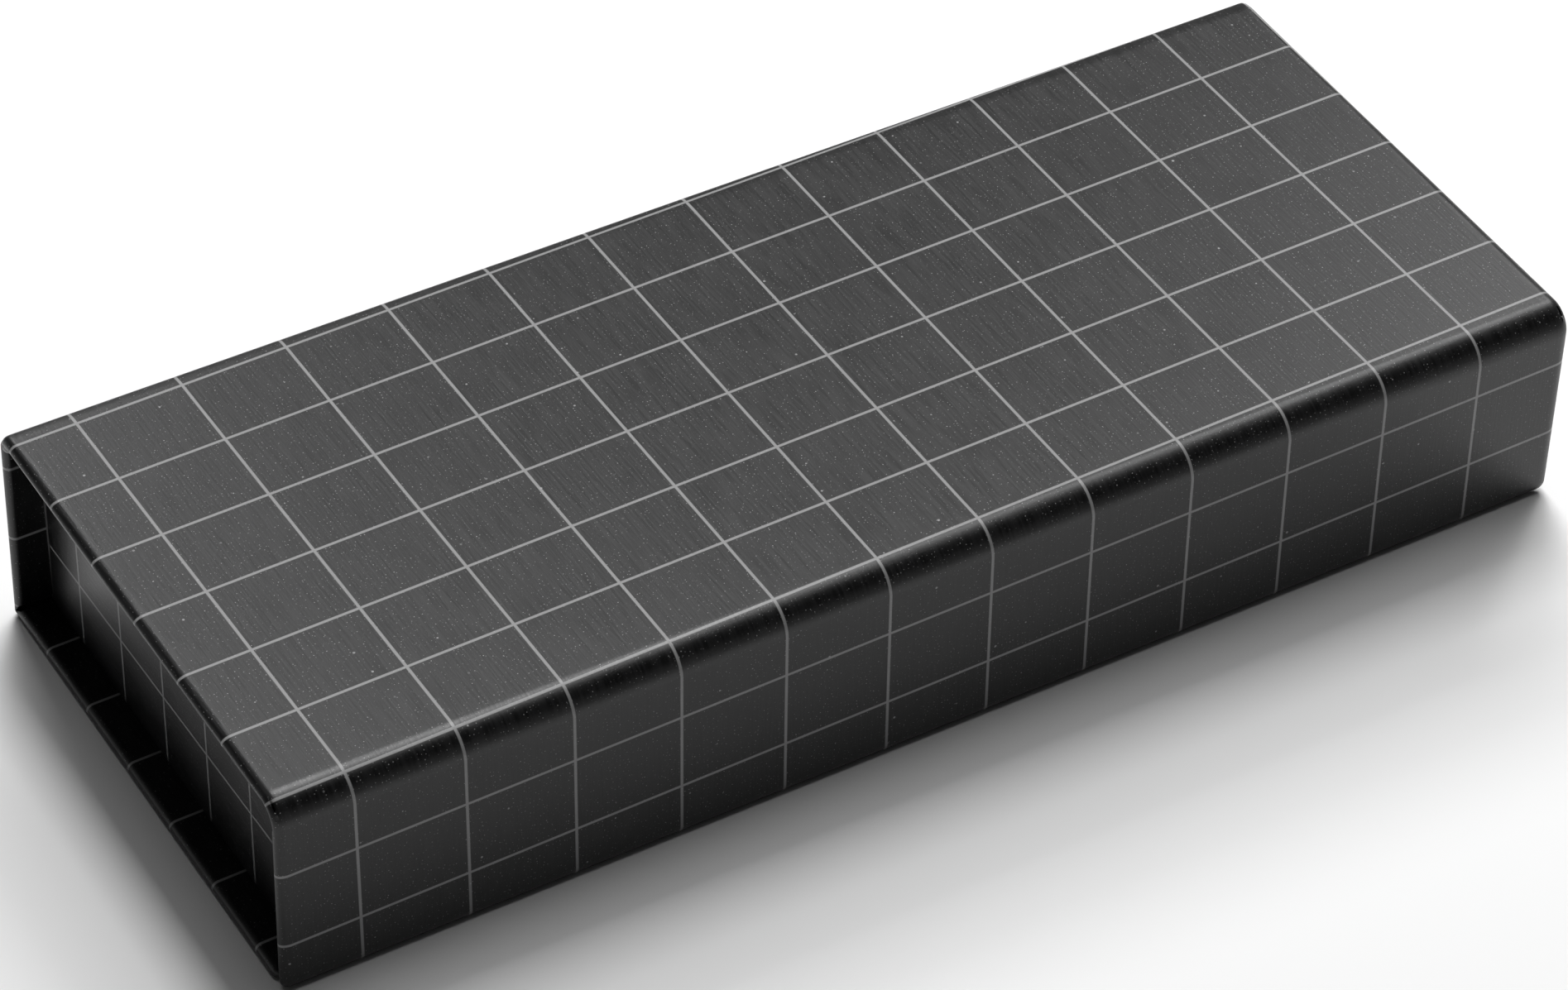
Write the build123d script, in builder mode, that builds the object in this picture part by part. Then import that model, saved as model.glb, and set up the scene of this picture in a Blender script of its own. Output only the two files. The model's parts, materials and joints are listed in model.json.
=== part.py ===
from build123d import *
from math import cos, pi, radians, sin
import os

# Pen set: a ballpoint pen and a mechanical pencil in a book-style box with a magnetic flap.
#
# The cover is four boards wrapped in printed paper and joined by paper folds: base, spine, lid and front
# flap. A wrapped tray stands on the base and holds a foam insert with a slot for each pen. The box is
# modelled closed, lying on its base: X runs along its length, Y from the flap to the spine, Z up. The origin
# is the middle of the base's underside. All sizes are millimetres.

# Cover
case_length = 190.0
case_depth = 78.0
case_height = 31.5
board = 1.5
wrap = 0.15
lining = 0.15
edge_round = 0.85
corner_round = 1.4
flap_fold_radius = 3.9
spine_fold_radius = 2.2
flap_gap = 0.2
flap_clearance = 0.3
lining_margin = 6.0

# Tray
end_inset = 4.8
lid_gap = 0.15
wall_board = 1.5
tray_paper = 0.15
tray_floor_board = 1.5
tray_corner_round = 0.8
tray_turn_in = 12.0

# Magnets
magnet_radius = 5.0
magnet_thickness = 1.0
magnet_spacing = 120.0
magnet_height = 16.0

# Foam insert
insert_clearance = 0.3
insert_corner_round = 1.5
insert_base_thickness = 6.0
insert_top_thickness = 11.0
slot_spacing = 32.0
slot_side_gap = 0.75
slot_end_gap = 2.0
slot_corner_round = 4.0
well_length = 34.0
well_side_gap = 7.25
well_corner_round = 6.0

# Both pens
pen_seat_gap = 0.3
nose_length = 13.0
nose_spigot = 5.0
nose_base_radius = 4.6
barrel_front_radius = 4.7
barrel_radius = 5.5
barrel_rear_radius = 5.2
barrel_bore_radius = 4.0
lower_barrel_length = 51.0
ring_length = 3.0
ring_radius = 5.75
ring_edge_round = 0.4
sleeve_bore_radius = 3.2
sleeve_overlap = 10.0
upper_barrel_length = 53.0
clip_ring_length = 1.2
clip_length = 38.0
clip_width = 3.6
clip_thickness = 0.9
clip_height = 1.1
clip_ball_radius = 0.95
clip_edge_round = 0.3

# Ballpoint pen
mouth_radius = 1.5
tip_bore_radius = 1.25
tip_radius = 1.15
ball_radius = 0.35
tip_recess = 1.0
tip_cone_length = 2.5
spring_seat = 9.0
spring_bore_radius = 2.7
refill_neck_length = 15.0
refill_radius = 2.45
refill_length = 95.0
refill_travel = 3.5
carrier_length = 10.0
carrier_radius = 2.8
carrier_cup = 6.0
carrier_peg_radius = 0.5
carrier_peg_offset = 2.1
carrier_peg_length = 4.0
cam_turn = 150.0
cam_gap = 0.8
spindle_radius = 3.0
spindle_fit = 0.06
spindle_tail_radius = 2.4
spindle_tail_length = 8.0
mechanism_length = 24.0
knob_gap = 0.3
knob_length = 14.5
knob_radius = 5.1
knob_dome_radius = 3.0
knob_dome_length = 2.5
flute_count = 24
flute_radius = 0.35
flute_length = 7.0
return_spring_radius = 1.9
return_spring_wire = 0.4
return_spring_turns = 6

# Mechanical pencil
pencil_mouth_radius = 1.1
lead_radius = 0.35
lead_length = 60.0
lead_proud = 0.8
lead_sleeve_radius = 0.65
lead_sleeve_bore = 0.42
lead_sleeve_proud = 3.5
lead_sleeve_seat = 4.0
chuck_cavity_start = 8.0
chuck_cavity_radius = 2.3
chuck_head_radius = 2.0
chuck_head_length = 3.0
chuck_start = 12.0
chuck_stem_radius = 1.4
chuck_length = 26.0
chuck_slot = 0.3
clutch_ring_length = 2.0
clutch_ring_fit = 0.1
press_travel = 3.5
chuck_spring_length = 11.8
chuck_spring_radius = 2.6
chuck_spring_wire = 0.5
chuck_spring_turns = 8
spring_end_gap = 0.1
magazine_radius = 2.8
magazine_bore = 2.2
magazine_seat = 7.0
magazine_length = 94.0
bush_length = 8.0
bush_fit = 0.08
bush_gap = 1.5
button_radius = 3.6
button_grip = 7.8
button_cap = 1.2
button_dome_radius = 2.4
button_dome_length = 1.6
eraser_length = 6.0
eraser_radius = 2.6

# Places worked out from the sizes above
panel = board + wrap + lining
front_y = -case_depth / 2
back_y = case_depth / 2
half_length = case_length / 2
flap_inner_y = front_y + panel
flap_top = case_height - flap_fold_radius
lid_front_y = front_y + flap_fold_radius
lid_back_y = back_y - spine_fold_radius
lid_under = case_height - panel
spine_inner_y = back_y - panel
spine_top = case_height - spine_fold_radius
base_front_y = flap_inner_y + flap_gap
fold_paper = wrap + lining

tray_half = half_length - end_inset
tray_front_y = base_front_y
tray_back_y = spine_inner_y
tray_bottom = panel
tray_top = lid_under - lid_gap
wall = wall_board + 2 * tray_paper
room_half = tray_half - wall
room_front_y = tray_front_y + wall
room_back_y = tray_back_y - wall
room_floor = tray_bottom + tray_floor_board + tray_paper

insert_half = room_half - insert_clearance
insert_front_y = room_front_y + insert_clearance
insert_back_y = room_back_y - insert_clearance
insert_middle_y = (insert_front_y + insert_back_y) / 2
insert_joint = room_floor + insert_base_thickness
insert_surface = insert_joint + insert_top_thickness
slot_width = 2 * (ring_radius + slot_side_gap)
pen_z = insert_joint + ring_radius + pen_seat_gap
ballpoint_y = insert_middle_y + slot_spacing / 2
pencil_y = insert_middle_y - slot_spacing / 2

ring_start = nose_length + lower_barrel_length
upper_start = ring_start + ring_length
upper_end = upper_start + upper_barrel_length
clip_ring_end = upper_end + clip_ring_length
clip_under = barrel_radius + clip_height
knob_start = clip_ring_end + knob_gap
pen_end = knob_start + knob_length
spindle_bore = spindle_radius + spindle_fit
chuck_spring_start = nose_length + nose_spigot
magazine_start = chuck_spring_start + chuck_spring_length
magazine_end = magazine_start + magazine_length
eraser_end = magazine_end + eraser_length
button_start = magazine_end - button_grip
bush_back = button_start - press_travel - bush_gap
button_end = eraser_end + button_cap
pencil_reach = lead_sleeve_proud + lead_proud + press_travel
pen_room = pencil_reach + max(pen_end, button_end)
nose_x = pencil_reach - pen_room / 2
slot_length = pen_room + 2 * slot_end_gap


def block(x, y, z, mode=Mode.ADD):
    """A block between two values on each axis, for the part being built."""
    with Locations(((x[0] + x[1]) / 2, (y[0] + y[1]) / 2, (z[0] + z[1]) / 2)):
        return Box(x[1] - x[0], y[1] - y[0], z[1] - z[0], mode=mode)


def pen_plane(y):
    """Plane through a pen's axis: local x runs from its nose to its other end, local y is up."""
    return Plane(origin=(nose_x, y, pen_z), x_dir=(1, 0, 0), z_dir=(0, -1, 0))


def pen_axis(y):
    return Axis((nose_x, y, pen_z), (1, 0, 0))


def half_section(y, outline):
    """Closed half section of a turned piece, from points of (distance from the nose, radius)."""
    with BuildSketch(pen_plane(y)) as section:
        with BuildLine():
            Polyline(*outline, close=True)
        make_face()
    return section.sketch


def turned(y, outline):
    """A turned piece of the pen at y."""
    with BuildPart() as piece:
        revolve(half_section(y, outline), axis=pen_axis(y))
    return piece


def tube(y, start, end, outer, bore):
    return turned(y, [(start, bore), (start, outer), (end, outer), (end, bore)])


def coil(y, start, end, radius, wire, turns):
    """A compression spring about a pen's axis, each half turn made of two arcs that meet smoothly."""
    length = end - start - wire
    pitch = length / turns
    steps = 2 * turns

    def point(i):
        return Vector(
            nose_x + start + wire / 2 + length * i / steps,
            y + radius * cos(pi * i),
            pen_z + radius * sin(pi * i),
        )

    def heading(i):
        return Vector(pitch / (2 * pi), -radius * sin(pi * i), radius * cos(pi * i)).normalized()

    with BuildPart() as spring:
        with BuildLine() as path:
            for i in range(steps):
                a, b, ta, tb = point(i), point(i + 1), heading(i), heading(i + 1)
                chord, both, turn = b - a, ta + tb, 2 * (1 - ta.dot(tb))
                reach = (-chord.dot(both) + (chord.dot(both) ** 2 + turn * chord.dot(chord)) ** 0.5) / turn
                middle = (a + b + (ta - tb) * reach) * 0.5
                TangentArc(a, middle, tangent=ta)
                TangentArc(middle, b, tangent=(b - tb * reach) - (a + ta * reach))
        with BuildSketch(Plane(origin=point(0), z_dir=heading(0))):
            Circle(wire / 2)
        sweep(path=path.wire())
    return spring


def save(piece, name):
    """Labels a finished piece and writes it as its own node."""
    piece.part.label = name
    export_step(piece.part, f"parts/{name}.step")


os.makedirs("parts", exist_ok=True)

# Base: board and the printed paper that goes round it
base_x, base_y, base_z = (-half_length, half_length), (base_front_y, lid_back_y), (0, panel)

with BuildPart() as base_board:
    block((base_x[0] + wrap, base_x[1] - wrap), (base_y[0] + wrap, base_y[1]), (wrap, wrap + board))
    fillet(base_board.edges().filter_by(Axis.Z).group_by(Axis.Y)[0], corner_round - wrap)
    rim = base_board.edges().filter_by(Axis.Z, reverse=True)
    fillet([e for e in rim if e.center().Y < base_y[1] - wrap], edge_round - wrap)
save(base_board, "base_board")

with BuildPart() as base_wrap:
    block(base_x, base_y, base_z)
    fillet(base_wrap.edges().filter_by(Axis.Z).group_by(Axis.Y)[0], corner_round)
    rim = base_wrap.edges().filter_by(Axis.Z, reverse=True)
    fillet([e for e in rim if e.center().Y < base_y[1] - wrap], edge_round)
    add(base_board.part, mode=Mode.SUBTRACT)
save(base_wrap, "base_wrap")

# Spine: board, and its paper with the fold that joins it to the base
with BuildPart() as spine_board:
    block(
        (-half_length + wrap, half_length - wrap),
        (spine_inner_y + lining, back_y - wrap),
        (spine_fold_radius, spine_top),
    )
    fillet(spine_board.edges().filter_by(Axis.Z), edge_round - wrap)
save(spine_board, "spine_board")

with BuildPart() as spine_wrap:
    block((-half_length, half_length), (spine_inner_y, back_y), (spine_fold_radius, spine_top))
    fillet(spine_wrap.edges().filter_by(Axis.Z), edge_round)
    add(spine_board.part, mode=Mode.SUBTRACT)
    with BuildSketch(Plane.YZ.offset(-half_length)):
        with Locations((lid_back_y, spine_fold_radius)):
            Circle(spine_fold_radius)
            Circle(spine_fold_radius - fold_paper, mode=Mode.SUBTRACT)
            Rectangle(2 * case_depth, 2 * case_depth, align=(Align.MAX, Align.CENTER), mode=Mode.SUBTRACT)
            Rectangle(2 * case_depth, 2 * case_depth, align=(Align.CENTER, Align.MIN), mode=Mode.SUBTRACT)
    extrude(amount=case_length)
save(spine_wrap, "spine_wrap")

# Lid: board, printed paper and lining
lid_y, lid_z = (lid_front_y, lid_back_y), (lid_under, case_height)

with BuildPart() as lid_board:
    block((-half_length + wrap, half_length - wrap), lid_y, (lid_under + lining, case_height - wrap))
    fillet(lid_board.edges().filter_by(Axis.Y), edge_round - wrap)
save(lid_board, "lid_board")

with BuildPart() as lid_lining:
    block((-half_length + lining_margin, half_length - lining_margin), lid_y, (lid_under, lid_under + lining))
save(lid_lining, "lid_lining")

with BuildPart() as lid_wrap:
    block((-half_length, half_length), lid_y, lid_z)
    fillet(lid_wrap.edges().filter_by(Axis.Y), edge_round)
    add(lid_board.part, mode=Mode.SUBTRACT)
    add(lid_lining.part, mode=Mode.SUBTRACT)
save(lid_wrap, "lid_wrap")

# Flap: board with two magnet pockets, printed paper and lining
flap_bottom = flap_clearance
magnet_places = [(-magnet_spacing / 2, magnet_height), (magnet_spacing / 2, magnet_height)]

with BuildPart() as flap_board:
    block(
        (-half_length + wrap, half_length - wrap),
        (front_y + wrap, flap_inner_y - lining),
        (flap_bottom + wrap, flap_top),
    )
    fillet(flap_board.edges().filter_by(Axis.Y).group_by(Axis.Z)[0], corner_round - wrap)
    rim = flap_board.edges().filter_by(Axis.Y, reverse=True)
    fillet([e for e in rim if e.center().Z < flap_top - wrap], edge_round - wrap)
    with BuildSketch(Plane.XZ.offset(-(flap_inner_y - lining))):
        with Locations(*magnet_places):
            Circle(magnet_radius)
    extrude(amount=magnet_thickness, mode=Mode.SUBTRACT)
save(flap_board, "flap_board")

with BuildPart() as flap_magnets:
    with BuildSketch(Plane.XZ.offset(-(flap_inner_y - lining))):
        with Locations(*magnet_places):
            Circle(magnet_radius)
    extrude(amount=magnet_thickness)
save(flap_magnets, "flap_magnets")

with BuildPart() as flap_lining:
    block(
        (-half_length + lining_margin, half_length - lining_margin),
        (flap_inner_y - lining, flap_inner_y),
        (flap_bottom + lining_margin, flap_top),
    )
save(flap_lining, "flap_lining")

with BuildPart() as flap_wrap:
    block((-half_length, half_length), (front_y, flap_inner_y), (flap_bottom, flap_top))
    fillet(flap_wrap.edges().filter_by(Axis.Y).group_by(Axis.Z)[0], corner_round)
    rim = flap_wrap.edges().filter_by(Axis.Y, reverse=True)
    fillet([e for e in rim if e.center().Z < flap_top - wrap], edge_round)
    add(flap_board.part, mode=Mode.SUBTRACT)
    add(flap_magnets.part, mode=Mode.SUBTRACT)
    add(flap_lining.part, mode=Mode.SUBTRACT)
save(flap_wrap, "flap_wrap")


def fold_section(y, z, radius, side):
    """Quarter ring of folded paper with its centre at y, z, above the centre and on one side of it."""
    with BuildSketch(Plane.YZ.offset(-half_length)) as section:
        with Locations((y, z)):
            Circle(radius)
            Circle(radius - fold_paper, mode=Mode.SUBTRACT)
            Rectangle(2 * case_depth, 2 * case_depth, align=(side, Align.CENTER), mode=Mode.SUBTRACT)
            Rectangle(2 * case_depth, 2 * case_depth, align=(Align.CENTER, Align.MAX), mode=Mode.SUBTRACT)
    return section.sketch


with BuildPart() as lid_hinge_paper:
    extrude(fold_section(lid_back_y, spine_top, spine_fold_radius, Align.MAX), amount=case_length)
save(lid_hinge_paper, "lid_hinge_paper")

with BuildPart() as flap_fold_paper:
    extrude(fold_section(lid_front_y, flap_top, flap_fold_radius, Align.MIN), amount=case_length)
save(flap_fold_paper, "flap_fold_paper")

# Tray walls and floor
wall_top = tray_top - tray_paper
wall_z = (tray_bottom, wall_top)
outer_half = tray_half - tray_paper
front_wall_y = (tray_front_y + tray_paper, tray_front_y + tray_paper + wall_board)
back_wall_y = (tray_back_y - tray_paper - wall_board, tray_back_y - tray_paper)

with BuildPart() as tray_magnets:
    with BuildSketch(Plane.XZ.offset(-front_wall_y[0])):
        with Locations(*magnet_places):
            Circle(magnet_radius)
    extrude(amount=-magnet_thickness)
save(tray_magnets, "tray_magnets")

with BuildPart() as tray_front_wall:
    block((-outer_half, outer_half), front_wall_y, wall_z)
    fillet(tray_front_wall.edges().filter_by(Axis.Z).group_by(Axis.Y)[0], tray_corner_round - tray_paper)
    add(tray_magnets.part, mode=Mode.SUBTRACT)
save(tray_front_wall, "tray_front_wall")

with BuildPart() as tray_back_wall:
    block((-outer_half, outer_half), back_wall_y, wall_z)
    fillet(tray_back_wall.edges().filter_by(Axis.Z).group_by(Axis.Y)[-1], tray_corner_round - tray_paper)
save(tray_back_wall, "tray_back_wall")

with BuildPart() as tray_left_wall:
    block((-outer_half, -outer_half + wall_board), (front_wall_y[1], back_wall_y[0]), wall_z)
save(tray_left_wall, "tray_left_wall")

with BuildPart() as tray_right_wall:
    block((outer_half - wall_board, outer_half), (front_wall_y[1], back_wall_y[0]), wall_z)
save(tray_right_wall, "tray_right_wall")

floor_x = (-outer_half + wall_board, outer_half - wall_board)
floor_y = (front_wall_y[1], back_wall_y[0])
turn_in_end = wall_top - tray_turn_in

with BuildPart() as tray_floor:
    block(floor_x, floor_y, (tray_bottom, tray_bottom + tray_floor_board))
save(tray_floor, "tray_floor")

with BuildPart() as tray_lining:
    block(floor_x, floor_y, (tray_bottom + tray_floor_board, turn_in_end))
    block((-room_half, room_half), (room_front_y, room_back_y), (room_floor, turn_in_end), mode=Mode.SUBTRACT)
save(tray_lining, "tray_lining")

with BuildPart() as tray_wrap:
    block((-tray_half, tray_half), (tray_front_y, tray_back_y), (tray_bottom, tray_top))
    fillet(tray_wrap.edges().filter_by(Axis.Z), tray_corner_round)
    block((-room_half, room_half), (room_front_y, room_back_y), (tray_bottom, tray_top), mode=Mode.SUBTRACT)
    block(floor_x, floor_y, (tray_bottom, turn_in_end), mode=Mode.SUBTRACT)
    for board_piece in (tray_front_wall, tray_back_wall, tray_left_wall, tray_right_wall, tray_magnets):
        add(board_piece.part, mode=Mode.SUBTRACT)
save(tray_wrap, "tray_wrap")

# Foam insert
with BuildPart() as insert_base:
    block((-insert_half, insert_half), (insert_front_y, insert_back_y), (room_floor, insert_joint))
    fillet(insert_base.edges().filter_by(Axis.Z), insert_corner_round)
save(insert_base, "insert_base")

with BuildPart() as insert_top:
    block((-insert_half, insert_half), (insert_front_y, insert_back_y), (insert_joint, insert_surface))
    fillet(insert_top.edges().filter_by(Axis.Z), insert_corner_round)
    with BuildSketch(Plane.XY.offset(insert_joint)):
        with Locations((0, ballpoint_y), (0, pencil_y)):
            RectangleRounded(slot_length, slot_width, slot_corner_round)
        with Locations((0, insert_middle_y)):
            RectangleRounded(well_length, slot_spacing + 2 * (ring_radius + well_side_gap), well_corner_round)
    extrude(amount=insert_top_thickness, mode=Mode.SUBTRACT)
save(insert_top, "insert_top")


def lower_barrel(y):
    """Tapered tube from the nose cone to the centre ring."""
    return turned(
        y,
        [
            (nose_length, barrel_bore_radius),
            (nose_length, barrel_front_radius),
            (ring_start / 2, (barrel_front_radius + barrel_radius) / 2 + ring_edge_round / 2),
            (ring_start, barrel_radius),
            (ring_start, barrel_bore_radius),
        ],
    )


def upper_barrel(y):
    return turned(
        y,
        [
            (upper_start, barrel_bore_radius),
            (upper_start, barrel_radius),
            (upper_end, barrel_rear_radius),
            (upper_end, barrel_bore_radius),
        ],
    )


def centre_ring(y):
    """Plated ring between the two barrels."""
    with BuildPart() as ring:
        revolve(
            half_section(
                y,
                [
                    (ring_start, barrel_bore_radius),
                    (ring_start, ring_radius),
                    (upper_start, ring_radius),
                    (upper_start, barrel_bore_radius),
                ],
            ),
            axis=pen_axis(y),
        )
        rims = ring.edges().filter_by(GeomType.CIRCLE).sort_by(SortBy.RADIUS)[-2:]
        fillet(rims, ring_edge_round)
    return ring


def clip(y, hole):
    """Spring clip: a washer behind the upper barrel, a tab up from it and a leaf along the barrel."""
    leaf_z = (pen_z + clip_under, pen_z + clip_under + clip_thickness)
    leaf_x = (nose_x + clip_ring_end - clip_length, nose_x + clip_ring_end)
    with BuildPart() as piece:
        block(leaf_x, (y - clip_width / 2, y + clip_width / 2), leaf_z)
        fillet(piece.edges().filter_by(Axis.Z).group_by(Axis.X)[0], clip_width / 2 - clip_edge_round)
        block(
            (nose_x + upper_end, nose_x + clip_ring_end),
            (y - clip_width / 2, y + clip_width / 2),
            (pen_z + hole, leaf_z[0]),
        )
        revolve(
            half_section(
                y,
                [
                    (upper_end, hole),
                    (upper_end, barrel_rear_radius),
                    (clip_ring_end, barrel_rear_radius),
                    (clip_ring_end, hole),
                ],
            ),
            axis=pen_axis(y),
        )
        fillet(piece.edges().group_by(Axis.Z)[-1], clip_edge_round)
        with Locations((leaf_x[0] + 2 * clip_ball_radius, y, leaf_z[0])):
            Sphere(clip_ball_radius, arc_size1=-90, arc_size2=0)
    return piece


# Ballpoint pen, with its nose towards the box's left end
save(lower_barrel(ballpoint_y), "ballpoint_lower_barrel")
save(upper_barrel(ballpoint_y), "ballpoint_upper_barrel")
save(centre_ring(ballpoint_y), "ballpoint_centre_ring")
save(clip(ballpoint_y, spindle_radius + knob_gap), "ballpoint_clip")
save(
    tube(
        ballpoint_y,
        ring_start - sleeve_overlap,
        upper_start + sleeve_overlap,
        barrel_bore_radius,
        sleeve_bore_radius,
    ),
    "ballpoint_sleeve",
)
save(
    turned(
        ballpoint_y,
        [
            (0, tip_bore_radius),
            (0, mouth_radius),
            (nose_length, nose_base_radius),
            (nose_length, barrel_bore_radius),
            (nose_length + nose_spigot, barrel_bore_radius),
            (nose_length + nose_spigot, spring_bore_radius),
            (spring_seat, spring_bore_radius),
            (spring_seat, tip_bore_radius),
        ],
    ),
    "ballpoint_nose_cone",
)

refill_shoulder = tip_recess + refill_neck_length
refill_end = tip_recess + refill_length
save(
    turned(
        ballpoint_y,
        [
            (tip_recess, 0),
            (tip_recess, ball_radius),
            (tip_recess + tip_cone_length, tip_radius),
            (refill_shoulder, tip_radius),
            (refill_shoulder, refill_radius),
            (refill_end, refill_radius),
            (refill_end, 0),
        ],
    ),
    "ballpoint_refill",
)
save(
    coil(
        ballpoint_y,
        spring_seat + spring_end_gap,
        refill_shoulder - spring_end_gap,
        return_spring_radius,
        return_spring_wire,
        return_spring_turns,
    ),
    "ballpoint_spring",
)

# Twist mechanism: the spindle's slanted end pushes the peg of the refill carrier as the knob turns
carrier_end = refill_end + carrier_length - carrier_cup
cam_phase = (180 - cam_turn) / 2
cam_rise = refill_travel / (2 * cos(radians(cam_phase)))
cam_slope = cam_rise / carrier_peg_offset
peg_end = carrier_end + carrier_peg_length
cam_centre = peg_end + cam_gap - refill_travel / 2
mechanism_start = upper_end - mechanism_length

with BuildPart() as refill_carrier:
    revolve(
        half_section(
            ballpoint_y,
            [
                (refill_end - carrier_cup, refill_radius),
                (refill_end - carrier_cup, carrier_radius),
                (carrier_end, carrier_radius),
                (carrier_end, 0),
                (refill_end, 0),
                (refill_end, refill_radius),
            ],
        ),
        axis=pen_axis(ballpoint_y),
    )
    with BuildSketch(Plane.YZ.offset(nose_x + carrier_end)):
        with Locations((ballpoint_y, pen_z + carrier_peg_offset)):
            Circle(carrier_peg_radius)
    extrude(amount=carrier_peg_length)
save(refill_carrier, "ballpoint_refill_carrier")

save(
    tube(ballpoint_y, mechanism_start, upper_end, barrel_bore_radius, spindle_bore),
    "ballpoint_mechanism_body",
)

high_side = radians(90 + cam_phase)
with BuildPart() as cam_spindle:
    revolve(
        half_section(
            ballpoint_y,
            [
                (carrier_end, 0),
                (carrier_end, spindle_radius),
                (knob_start, spindle_radius),
                (knob_start, spindle_tail_radius),
                (knob_start + spindle_tail_length, spindle_tail_radius),
                (knob_start + spindle_tail_length, 0),
            ],
        ),
        axis=pen_axis(ballpoint_y),
    )
    split(
        bisect_by=Plane(
            origin=(nose_x + cam_centre, ballpoint_y, pen_z),
            z_dir=(1, -cam_slope * cos(high_side), -cam_slope * sin(high_side)),
        ),
        keep=Keep.TOP,
    )
save(cam_spindle, "ballpoint_cam_spindle")

with BuildPart() as twist_knob:
    revolve(
        half_section(
            ballpoint_y,
            [
                (knob_start, spindle_tail_radius),
                (knob_start, knob_radius - ring_edge_round),
                (knob_start + ring_edge_round, knob_radius),
                (pen_end - knob_dome_length, knob_radius - ring_edge_round),
                (pen_end, knob_dome_radius),
                (pen_end, 0),
                (knob_start + spindle_tail_length, 0),
                (knob_start + spindle_tail_length, spindle_tail_radius),
            ],
        ),
        axis=pen_axis(ballpoint_y),
    )
    with BuildSketch(Plane.YZ.offset(nose_x + knob_start + 2 * ring_edge_round)):
        with Locations((ballpoint_y, pen_z)):
            with PolarLocations(knob_radius, flute_count):
                Circle(flute_radius)
    extrude(amount=flute_length, mode=Mode.SUBTRACT)
save(twist_knob, "ballpoint_twist_knob")

# Mechanical pencil
save(lower_barrel(pencil_y), "pencil_lower_barrel")
save(upper_barrel(pencil_y), "pencil_upper_barrel")
save(centre_ring(pencil_y), "pencil_centre_ring")
save(clip(pencil_y, button_radius + knob_gap), "pencil_clip")
save(
    tube(
        pencil_y,
        ring_start - sleeve_overlap,
        upper_start + sleeve_overlap,
        barrel_bore_radius,
        sleeve_bore_radius,
    ),
    "pencil_sleeve",
)
save(
    turned(
        pencil_y,
        [
            (0, lead_sleeve_radius),
            (0, pencil_mouth_radius),
            (nose_length, nose_base_radius),
            (nose_length, barrel_bore_radius),
            (nose_length + nose_spigot, barrel_bore_radius),
            (nose_length + nose_spigot, chuck_cavity_radius),
            (chuck_cavity_start, chuck_cavity_radius),
            (chuck_cavity_start, lead_sleeve_radius),
        ],
    ),
    "pencil_nose_cone",
)
save(
    tube(pencil_y, -lead_sleeve_proud, lead_sleeve_seat, lead_sleeve_radius, lead_sleeve_bore),
    "pencil_lead_sleeve",
)
save(
    turned(
        pencil_y,
        [
            (-lead_sleeve_proud - lead_proud, 0),
            (-lead_sleeve_proud - lead_proud, lead_radius),
            (lead_length, lead_radius),
            (lead_length, 0),
        ],
    ),
    "pencil_lead",
)

chuck_end = chuck_start + chuck_length
with BuildPart() as chuck:
    revolve(
        half_section(
            pencil_y,
            [
                (chuck_start, lead_radius),
                (chuck_start, chuck_head_radius),
                (chuck_start + chuck_head_length, chuck_stem_radius),
                (chuck_end, chuck_stem_radius),
                (chuck_end, lead_radius),
            ],
        ),
        axis=pen_axis(pencil_y),
    )
    jaw_x = nose_x + chuck_start
    block(
        (jaw_x, jaw_x + chuck_length / 2),
        (pencil_y - chuck_head_radius, pencil_y + chuck_head_radius),
        (pen_z - chuck_slot / 2, pen_z + chuck_slot / 2),
        mode=Mode.SUBTRACT,
    )
save(chuck, "pencil_chuck")

clutch_start = chuck_start + chuck_head_length + clutch_ring_fit
save(
    tube(
        pencil_y,
        clutch_start,
        clutch_start + clutch_ring_length,
        chuck_cavity_radius,
        chuck_stem_radius + clutch_ring_fit,
    ),
    "pencil_clutch_ring",
)

save(
    coil(
        pencil_y,
        chuck_spring_start + spring_end_gap,
        magazine_start - spring_end_gap,
        chuck_spring_radius,
        chuck_spring_wire,
        chuck_spring_turns,
    ),
    "pencil_spring",
)
save(
    turned(
        pencil_y,
        [
            (magazine_start, chuck_stem_radius),
            (magazine_start, magazine_radius),
            (magazine_end, magazine_radius),
            (magazine_end, magazine_bore),
            (magazine_start + magazine_seat, magazine_bore),
            (magazine_start + magazine_seat, chuck_stem_radius),
        ],
    ),
    "pencil_magazine",
)
save(
    tube(
        pencil_y,
        bush_back - bush_length,
        bush_back,
        barrel_bore_radius,
        magazine_radius + bush_fit,
    ),
    "pencil_guide_bush",
)

with BuildPart() as push_button:
    revolve(
        half_section(
            pencil_y,
            [
                (button_start, magazine_radius),
                (button_start, button_radius),
                (button_end - button_dome_length, button_radius),
                (button_end, button_dome_radius),
                (button_end, 0),
                (eraser_end, 0),
                (eraser_end, magazine_radius),
            ],
        ),
        axis=pen_axis(pencil_y),
    )
save(push_button, "pencil_push_button")
save(
    turned(
        pencil_y,
        [
            (magazine_end, 0),
            (magazine_end, eraser_radius),
            (eraser_end, eraser_radius),
            (eraser_end, 0),
        ],
    ),
    "pencil_eraser",
)
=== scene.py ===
import json
from math import acos, asin, cos, degrees, hypot, pi, radians, sin, sqrt

import bmesh
import bpy
from mathutils import Matrix, Vector


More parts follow.
